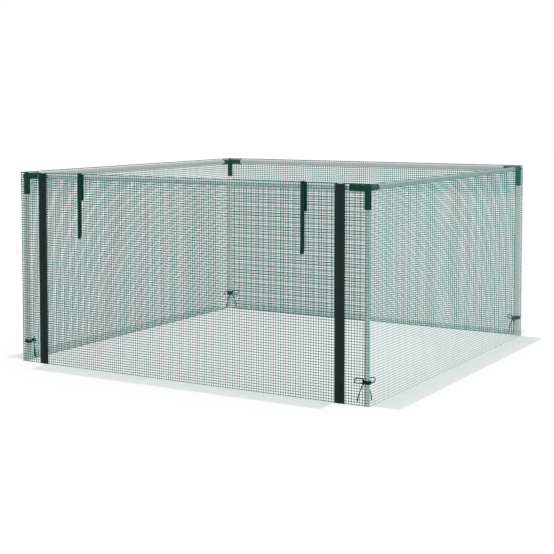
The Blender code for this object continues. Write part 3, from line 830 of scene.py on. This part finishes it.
def net_panel(name, place, size, mesh, widths, slot, body, wave=0.0, knotted=True, band=NO_BAND):
    """A net of threads, and the area that they cover.

    widths are the upright thread's, the crossing thread's and the thickness. A wall with a band of heavier
    yarn also has the bound edges. Covered is 1 minus the share that both sets of threads leave open.
    """
    panel = (*place, size, wave)
    columns, rows = (spread(length, pitch, pitch * EDGE_SHARE) for length, pitch in zip(size, mesh))
    upright, crossing, thick = widths
    blocks = [
        threads(panel, columns, size[1], upright, thick, True, band),
        threads(panel, rows, size[0], crossing, thick, False, band),
    ]
    bound = band != NO_BAND
    yarns, pitch, fine = SELVEDGE if bound else (0, 0.0, 0.0)
    if knotted:
        blocks.append(knots(panel, columns, rows, *np.multiply(widths, KNOT_SIZE), band))
    if bound:
        top = size[1] - fine / 2 - np.arange(yarns) * pitch
        blocks.append(threads(panel, np.append(top, fine / 2), size[0], fine, thick, False))
    piece = put_mesh(name, blocks, slot, body, smooth=False)
    swell = swelling(rows, size[1], band)
    crossed = crossing * swell.sum() + fine * (yarns + 1)
    covered = 1 - (1 - upright * swell.mean() * len(columns) / size[0]) * (1 - crossed / size[1])
    print(f"{name}: {len(columns)} x {len(rows)} threads, {triangles(piece)} triangles, {covered:.0%} full")
    return piece, covered * size[0] * size[1]


# %% [markdown]
# The side walls run the full depth of the cage. The back wall, the two jambs beside the zips and the door
# fit between them. Each hangs from its rail and just reaches the ground.

# %% Walls and door
WALL_MESH = (0.00805, 0.0075)
DOOR_THREADS = (0.00188, 0.00176, 0.0008)
BACK_THREADS = (0.00185, 0.00173, 0.0008)
LEFT_THREADS = (0.00145, 0.00135, 0.0007)
RIGHT_THREADS = (0.00133, 0.00123, 0.0006)
BACK_BAND = (0.020, 0.35)  # over what height the yarn swells in the band, and by what share
LEFT_BAND = (0.095, 0.65)
WALL_WAVE = 0.00015
GROUND_CLEARANCE = 0.0004
UP = np.array([0, 0, 1])
FACING = {  # each side's direction along it, to the right as seen from outside, and its direction outwards
    "left": ((0, -1, 0), (-1, 0, 0)), "right": ((0, 1, 0), (1, 0, 0)),
    "back": ((-1, 0, 0), (0, 1, 0)), "front": ((1, 0, 0), (0, -1, 0)),
}


def wall(name, node, body, facing, start, length, widths, band=NO_BAND):
    """One panel of the cover, at its real size."""
    size = (length, NET_TOP - GROUND_CLEARANCE)
    along, out = FACING[facing]
    place = ((*start, GROUND_CLEARANCE), along, UP, out)
    piece, area = net_panel(name, place, size, WALL_MESH, widths, "net_thread", body, WALL_WAVE, band=band)
    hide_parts(node)


plane = HALF + NET_OFFSET
side_reach = HALF + NET_FACE
end_reach = HALF + NET_FACE - NET_THICKNESS - GAP
door_reach = ZIP_X - NET_TO_ZIP
jamb_start = ZIP_X + NET_TO_ZIP
jamb_width = end_reach - jamb_start
left, right = (-plane, side_reach), (plane, -side_reach)
wall("net_wall_left", "net_left", "frame", "left", left, 2 * side_reach, LEFT_THREADS, LEFT_BAND)
wall("net_wall_right", "net_right", "frame", "right", right, 2 * side_reach, RIGHT_THREADS)
wall("net_wall_back", "net_back", "frame", "back", (end_reach, plane), 2 * end_reach, BACK_THREADS, BACK_BAND)
wall("net_door_panel", "net_door", "door", "front", (-door_reach, -plane), 2 * door_reach, DOOR_THREADS)
for word, start in (("left", -end_reach), ("right", jamb_start)):
    wall(f"net_strip_{word}", f"net_jamb_{word}", "frame", "front", (start, -plane), jamb_width, DOOR_THREADS)

# %% [markdown]
# The skirts are flaps of net that lie flat on the ground outside the walls, where soil or pegs hold them.
# Here they get a finer mesh and a pale, nearly white yarn. Seen from so low an angle their meshes close up to
# an even pale tone.

# %% Skirts
SKIRT_MESH = (0.0025, 0.0025)
SKIRT_THREADS = (0.0011, 0.0010, 0.0003)
SKIRT_LIFT = 0.0008
SKIRT_DOOR_HALF = 0.5075


def skirt(word, facing, start, length):
    """A flap on the ground: its own up axis is the outward direction, and its out axis is up."""
    size = (length, SKIRT_WIDTH)
    place = ((*start, SKIRT_LIFT), *FACING[facing], UP)
    node = f"skirt_{word}"
    piece, area = net_panel(
        f"net_flap_{word}", place, size, SKIRT_MESH, SKIRT_THREADS, "skirt_thread", node, knotted=False
    )
    faces_out(piece)
    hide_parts(node)


edge = HALF + NET_FACE + GAP
skirt("left", "left", (-edge, HALF), 2 * HALF)
skirt("right", "right", (edge, -HALF), 2 * HALF)
skirt("back", "back", (HALF, edge), 2 * HALF)
skirt("door", "front", (-SKIRT_DOOR_HALF, -edge), 2 * SKIRT_DOOR_HALF)

# %% [markdown]
# ## Zips
#
# Each side of a zip is a woven tape with a row of teeth along its inner edge. The tape is a flat profile
# carried up the zip. Under the teeth each tape has a core with a thin lip: the door's lip lies in front of
# the jamb's, so no light shows through the closed zip. A tooth is a small bar with a hexagonal section,
# and the row is one tooth repeated up the tape by adding an array of heights to it. Stitches hold the tape
# to the net.

# %% Tapes, teeth and stitches
TAPE_WIDTH = 0.0150
TAPE_THICKNESS = 0.0010
TAPE_TOP = NET_TOP - 0.0020
SLOT = 0.0014
TAPE_Y = -HALF - NET_FACE - GAP - TAPE_THICKNESS / 2
CORE_DEPTH = 0.0023
CORE_REACH = (0.00045, 0.0034)  # from the middle of the zip to the core's two sides
LIP = (0.0006, 0.00015, 0.0008)  # how far a core's lip crosses the middle, and where its two sides lie
TOOTH_PITCH = 0.0025
TOOTH_HEIGHT = 0.0015
TOOTH_DEPTH = 0.0026
TOOTH_REACH = (0.0002, 0.0037)
STITCH_PITCH = 0.0040
STITCH_LENGTH = 0.0026
STITCH_ROWS = (0.0075, 0.0125)  # from the middle of the zip
STITCH_HALF = 0.0003
STITCH_DEPTH = (0.00035, 0.0002)  # in front of its middle and behind it
STITCH_LIFT = 0.0001  # from the tape's face to the stitch's middle
TAPE_RINGS = 60


def tube_block(profile, origins, across, up):
    """A closed solid: a profile carried along a path, with a flat face at each end."""
    points = carried(profile, origins, across, up)
    rows, columns = points.shape[:2]
    return points, [grid_faces(rows, columns), end_faces(rows, columns)]


def chart_of(across, along):
    """A carried profile's map: each corner's value across the profile, and its station's along the path."""
    return joined(across[None, :], along[:, None]).reshape(-1, 2)


def repeated(points, faces, offsets):
    """The same small shape at many places, as one block."""
    many = points[None] + offsets[:, None]
    return many, [copied(part, len(points), len(offsets)) for part in faces]


def tape_piece(side, away, which, body):
    """One tape with its teeth and stitches. away is +1 for the half that lies away from the door."""
    toward = side * away
    centre = np.array([side * ZIP_X, TAPE_Y, 0.0])
    outer, half = SLOT / 2 + TAPE_WIDTH, TAPE_THICKNESS / 2
    near, far, deep = *CORE_REACH, CORE_DEPTH / 2
    cross, inside, outside = LIP
    section = np.array([
        (-cross, -inside), (-cross, -outside), (near + deep / 2, -deep), (far - deep / 2, -deep),
        (far, -half), (outer - half, -half), (outer, 0), (outer - half, half), (far, half),
        (far - deep / 2, deep), (near + deep / 2, deep), (near, deep / 2), (near, -inside),
    ]) * (1, -away)
    heights = np.linspace(GROUND_CLEARANCE, TAPE_TOP, TAPE_RINGS)
    sideways, forward = (toward, 0, 0), (0, 1, 0)
    blocks = [tube_block(section, centre + heights[:, None] * UP, sideways, forward)]
    hexagon = ellipse(TOOTH_DEPTH / 2, TOOTH_HEIGHT / 2, 6)
    tooth, faces = tube_block(hexagon, np.outer(TOOTH_REACH, sideways), forward, UP)
    first = TOOTH_HEIGHT + (TOOTH_PITCH / 2 if away > 0 else 0)
    levels = np.arange(first, TAPE_TOP - TOOTH_HEIGHT, TOOTH_PITCH)
    blocks.append(repeated(tooth.reshape(-1, 3), faces, centre + levels[:, None] * UP))
    front, back = STITCH_DEPTH
    stitch = np.array([
        (STITCH_HALF, 0, 0), (-STITCH_HALF, 0, 0), (0, -front, 0), (0, back, 0),
        (0, 0, STITCH_LENGTH / 2), (0, 0, -STITCH_LENGTH / 2),
    ])
    rungs = np.arange(STITCH_PITCH, TAPE_TOP - STITCH_PITCH, STITCH_PITCH)
    for row in STITCH_ROWS:
        foot = centre + (toward * row, -half - STITCH_LIFT, 0)
        blocks.append(repeated(stitch, [GRAIN], foot + rungs[:, None] * UP))
    chart = chart_of(section[:, 0], heights)
    piece = put_mesh(f"woven_tape_{which}", blocks, "zip_tape", body, uv=chart, smooth=False)
    faces_out(piece)
    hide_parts(f"zip_tape_{which}")
    return piece


for word, side in (("left", -1), ("right", 1)):
    for half_name, away, body in (("jamb", 1, "frame"), ("door", -1, "door")):
        tape = tape_piece(side, away, f"{word}_{half_name}", body)
print("each tape has", triangles(tape), "triangles")

# %% [markdown]
# ## Sliders and pull tabs
#
# The solids of the slider and its tab already have the right outline. Cast metal has soft edges, so a
# merged copy of each solid gets a small bevel, which catches the light.

# %% Bevelled copies
BEVEL = 0.0002
BEVEL_FROM = math.radians(40)  # edges sharper than this get the bevel
CAST_CREASE = math.radians(35)


def softened(node):
    """A copy of a CAD solid, merged and bevelled, that stands for it."""
    piece = placed(f"cast_{node}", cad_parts[node].data.copy())
    faces_out(dress(piece, "zip_metal", node))
    bevel = piece.modifiers.new("soft_edges", "BEVEL")
    bevel.width = BEVEL
    bevel.segments = 2
    bevel.limit_method = "ANGLE"
    bevel.angle_limit = BEVEL_FROM
    piece.data.shade_smooth()
    piece.data.set_sharp_from_angle(angle=CAST_CREASE)
    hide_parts(node)


for node in ("slider_left", "pull_tab_left", "slider_right", "pull_tab_right"):
    softened(node)
    print(node, "has", triangles(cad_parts[node]), "triangles before the bevel")

# %% [markdown]
# ## Straps
#
# Two webbing straps are sewn to the door's top edge, to tie it when it is rolled up. Each has a long tail
# outside and a short one inside. Webbing is a flat woven band with round edges, so a flat profile is
# carried along the strap's path. The outer tail ends in a small outward curl.

# %% Straps
STRAP_X = {"left": -0.376, "right": 0.407}
STRAP_WIDTH = 0.0135
STRAP_SHIFT = 0.0055  # how far to the right the inner tail hangs
STRAP_THICKNESS = 0.0012
OUTER_DROP = 0.200
INNER_DROP = 0.082
CURL = (0.022, 0.004)  # how long the outer tail's curl is, and how far out it ends
STRAP_FOLD = NET_THICKNESS / 2 + GAP + STRAP_THICKNESS / 2
STRAP_CREASE = math.radians(50)


def unit(vectors):
    """The same directions with a length of 1."""
    return vectors / np.linalg.norm(vectors, axis=-1, keepdims=True)


def distance_along(path):
    """For each point of a path, the sum of the steps that lead to it."""
    return np.concatenate([[0], np.cumsum(np.linalg.norm(np.diff(path, axis=0), axis=1))])


def outer_path():
    """The outer tail from its curled tip up to the fold over the net's edge, as (y, z).

    The curl is a parabola, the rise a straight line and the fold a quarter of a circle.
    """
    tip, fold = NET_TOP - OUTER_DROP, STRAP_FOLD
    long, far = CURL
    share = np.linspace(0, 1, 9)
    curl = joined(FRONT_Y - fold - far * (1 - share) ** 2, tip + long * share)
    rise = np.linspace(tip + long, NET_TOP, 30)[1:-1]
    straight = joined(FRONT_Y - fold, rise)
    turn = np.linspace(0, math.pi / 2, 9)
    bend = joined(FRONT_Y - fold * np.cos(turn), NET_TOP + fold * np.sin(turn))
    return np.concatenate([curl, straight, bend])


def inner_path():
    """The inner tail, straight down between the net and the rail, as (y, z)."""
    top = NET_TOP - STRAP_FOLD - STRAP_THICKNESS / 2 - GAP
    fall = np.linspace(top, NET_TOP - INNER_DROP, 14)
    return joined(FRONT_Y + STRAP_FOLD, fall)


def band_section():
    """A flat band with round edges: across the strap, then through it."""
    radius = STRAP_THICKNESS / 2
    angle = np.linspace(-math.pi / 2, math.pi / 2, 7)
    right = joined(STRAP_WIDTH / 2 - radius + radius * np.cos(angle), radius * np.sin(angle))
    return np.concatenate([right, -right])


def strap(which, x, path):
    """A band carried along a path in the plane x = constant, with the distance along it as its map."""
    run, section = distance_along(path), band_section()
    step = unit(np.gradient(path, axis=0))
    block = tube_block(section, joined(x, *path.T), (1, 0, 0), joined(0, -step[:, 1], step[:, 0]))
    node, chart = f"strap_{which}", chart_of(section[:, 0], run)
    piece = faces_out(put_mesh(f"webbing_{which}", [block], "webbing", node, uv=chart))
    piece.data.set_sharp_from_angle(angle=STRAP_CREASE)
    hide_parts(node)
    print(node, "is", round(run[-1], 4), "m long")


for word, x in STRAP_X.items():
    strap(f"{word}_outer", x, outer_path())
    strap(f"{word}_inner", x + STRAP_SHIFT, inner_path())

# %% [markdown]
# ## Tied cords
#
# A cord is sewn by its middle to the cover's corner seam. Its two ends wind round the leg, cross and are
# tied in a bow that faces the middle of the cage. So each tie is two cords that start at the seam, with a
# turn and a half round the leg each. Each ends in one loop of the bow and one hanging tail, and a band of
# cord round the crossing makes the knot.

# %% Routes of the cords
CORD_DIAMETER = 0.003
CORD_RADIUS = CORD_DIAMETER / 2
LAP_GAP = 0.00065
WRAP_RADIUS = TUBE_RADIUS + LAP_GAP + CORD_RADIUS
WRAP_RISE = CORD_DIAMETER + LAP_GAP
WRAP_TURNS = 3
TIE_Z = 0.065
KNOT_X = WRAP_RADIUS + 0.0042
BOW_REACH = 0.0300
BOW_HALF_HEIGHT = 0.0055
BOW_RISE = 0.0020
BOW_LEAN_SHARE = 0.15
BOW_ROOT = 0.0022
TAIL_DROP = 0.0560
TAIL_SPREAD = 0.0200
TAIL_LEAN = 0.0060
KNOT_APPROACH = 0.35  # how far from the knot, in radians, a cord leaves the leg
CORD_SIDES = 12
KNOT_SHIFTS = (-0.0011, 0.0011)  # where the knot's two bands lie across it
KNOT_RADII = (0.0030, 0.0034)  # half a band's depth and half its height
KNOT_TILT = 0.25
KNOT_CORD = 0.85  # the cord in the knot is pulled tight and thinner


def helix(first, last, count):
    """Turns round the leg between two angles, in the tie's own frame, where +X faces the cage's middle."""
    angle = np.linspace(first, last, count)
    height = WRAP_RISE * (WRAP_TURNS / 2 - angle / math.tau)
    return joined(WRAP_RADIUS * np.cos(angle), WRAP_RADIUS * np.sin(angle), height)


def bow(side):
    """One loop of the bow: out from the knot above, round its end and back below."""
    share = np.linspace(0, 1, 33)
    out, swell = np.sin(math.pi * share), np.sin(math.tau * share)
    height = BOW_ROOT * np.cos(math.pi * share) + BOW_HALF_HEIGHT * swell + BOW_RISE * out
    return joined(KNOT_X + BOW_LEAN_SHARE * BOW_REACH * out, side * BOW_REACH * out, height)


def tail(side):
    """One tail, which leaves the knot sideways and falls to just above the ground."""
    share = np.linspace(0, 1, 13)
    spread_out = CORD_RADIUS + (TAIL_SPREAD - CORD_RADIUS) * np.sin(math.pi / 2 * share)
    return joined(KNOT_X + TAIL_LEAN * share, side * spread_out, -TAIL_DROP * share)


def evened(points, step):
    """The same line with its points spread evenly along it, after two passes that round its corners."""
    for _ in range(2):
        middle = points[1:-1] * 0.5 + (points[:-2] + points[2:]) * 0.25
        points = np.concatenate([points[:1], middle, points[-1:]])
    run = distance_along(points)
    even = np.linspace(0, run[-1], round(run[-1] / step))
    return joined(*(np.interp(even, run, line) for line in points.T)), run[-1]


def cord_route(side):
    """From the seam round the leg to the knot, through one loop of the bow and down one tail."""
    seam = WRAP_TURNS * math.pi
    end = seam + side * (seam - KNOT_APPROACH)
    wrap = helix(seam, end, 90)
    return evened(np.concatenate([wrap, bow(side), tail(-side)[2:]]), 0.0012)


# %% [markdown]
# A cord is a circle carried along its route. The circle's axes have to follow the route without spinning,
# so each station takes the last one's axis and removes the part that points along the new direction.

# %% Cords and knots
def steady_axes(points):
    """Unit axes across a route that turn with it and never spin, found station by station."""
    along = unit(np.gradient(points, axis=0))
    across = np.empty_like(points)
    last = UP
    for station, direction in enumerate(along):
        last = unit(last - direction * (last @ direction))
        across[station] = last
    return across, np.cross(along, across)


def to_the_middle(quarter):
    """The turn that makes the tie's own +X face the cage's middle."""
    return about_z((quarter + 0.5) * math.pi / 2).T


def in_place(points, quarter):
    """Points of the tie's own frame, turned to face the cage's middle and moved to their leg."""
    return points @ to_the_middle(quarter) + np.array([*corner_place(quarter), TIE_Z])


def cord_piece(name, route, length):
    """The cord's surface, with its map: once round, and the distance along."""
    block = tube_block(ellipse(CORD_RADIUS, CORD_RADIUS, CORD_SIDES), route, *steady_axes(route))
    chart = chart_of(np.arange(CORD_SIDES) / CORD_SIDES, np.linspace(0, length, len(route)))
    return faces_out(put_mesh(name, [block], "tie_cord", "frame", uv=chart))


def knot_piece(name, quarter):
    """Two bands of cord round the crossing: tilted rings in the plane that the bow's loops cross."""
    angle = np.linspace(0, math.tau, 33)[:-1]
    deep, tall = KNOT_RADII
    spoke = joined(deep * np.cos(angle), KNOT_TILT * deep * np.cos(angle), tall * np.sin(angle))
    out = unit(spoke)
    turn = to_the_middle(quarter)
    blocks = []
    for shift in KNOT_SHIFTS:
        ring = spoke + (KNOT_X, shift, 0)
        side = unit(np.cross(np.gradient(ring, axis=0), out))
        section = ellipse(CORD_RADIUS * KNOT_CORD, CORD_RADIUS * KNOT_CORD, CORD_SIDES)
        points = carried(section, in_place(ring, quarter), out @ turn, side @ turn)
        blocks.append((points, [grid_faces(len(ring), CORD_SIDES, wrap_rows=True)]))
    return faces_out(put_mesh(name, blocks, "tie_cord", "frame"))


for corner, quarter in CORNERS.items():
    knot = knot_piece(f"knot_{corner}", quarter)
    for word, side in (("upper", -1), ("lower", 1)):
        route, length = cord_route(side)
        route = in_place(route, quarter)
        piece = cord_piece(f"cord_{word}_{corner}", route, length)
        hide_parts(f"tie_{corner}")
        if quarter == 0:
            print(f"the {word} cord of a tie is {length:.3f} m long")
